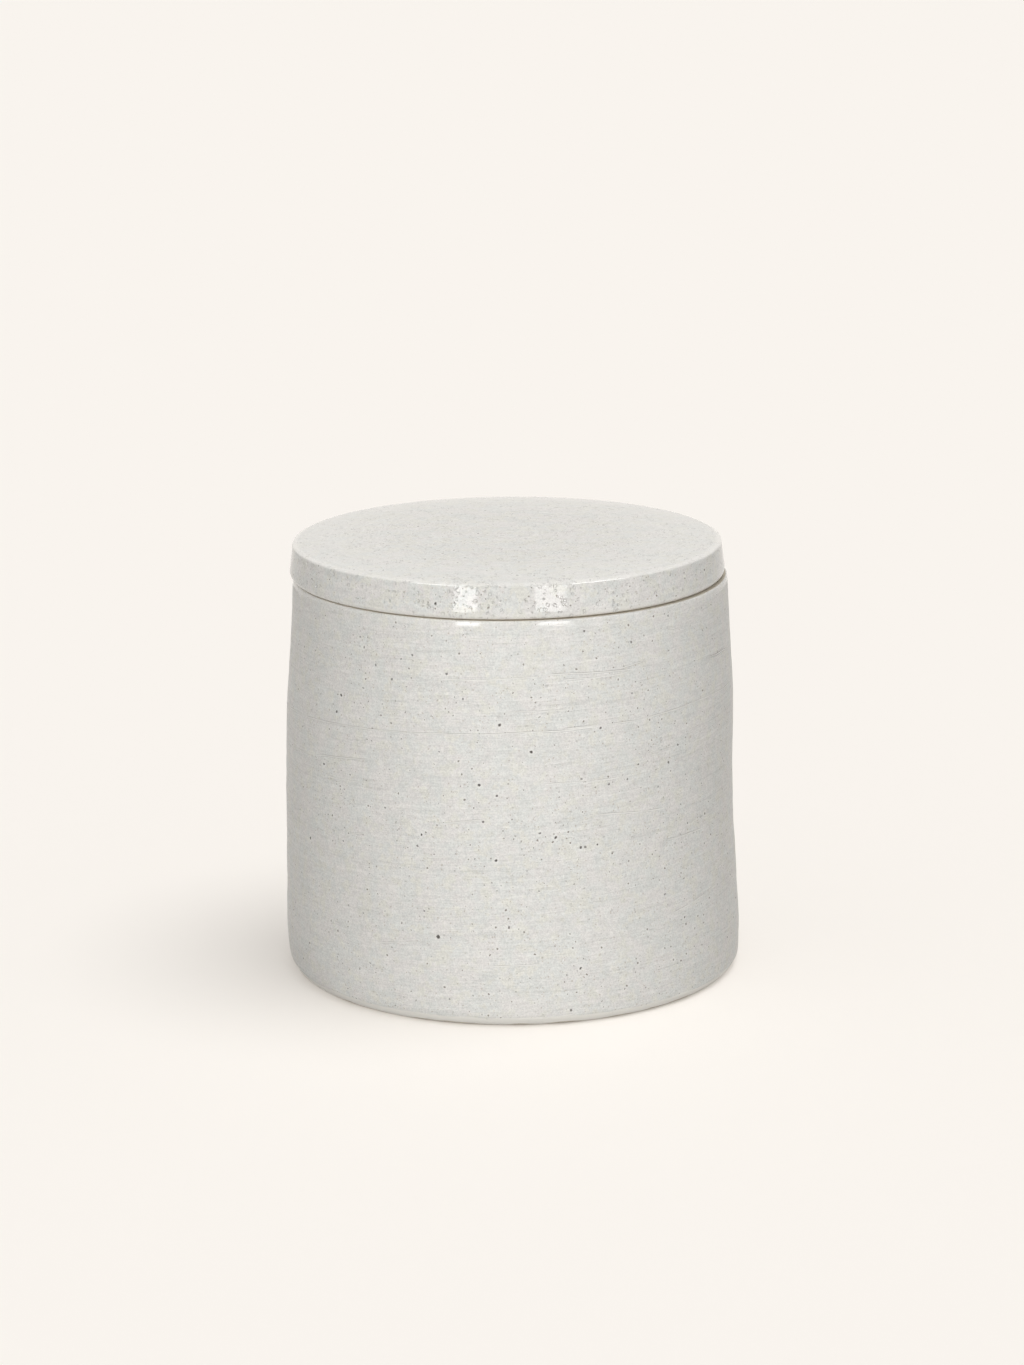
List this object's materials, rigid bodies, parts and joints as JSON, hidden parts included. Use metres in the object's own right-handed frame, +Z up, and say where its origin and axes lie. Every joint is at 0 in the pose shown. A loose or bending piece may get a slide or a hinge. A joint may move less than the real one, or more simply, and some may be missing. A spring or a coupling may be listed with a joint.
{
  "type": "round lidded box",
  "caption": "Round lidded stoneware box: a straight-sided glazed jar on a bevelled foot, and a loose cap lid with a locating flange.",
  "frame": {"origin": "on the surface that the box stands on, below the middle of the jar", "axes": "+Z up, along the jar's axis; the picture looks along +Y with +X to the right"},
  "size_m": [0.115, 0.115, 0.11],
  "materials": {
    "jar_glaze": "satin off-white glaze over an iron-speckled stoneware body",
    "lid_glaze": "smoother, glossier coat of the same off-white glaze"
  },
  "bodies": {
    "jar": {"jar": "jar_glaze"},
    "lid": {"lid": "lid_glaze"}
  },
  "joints": [
    {"name": "lid_lift", "type": "slide", "parent": "jar", "child": "lid", "axis": [0, 0, 1], "range_m": [0, 0.12]}
  ]
}
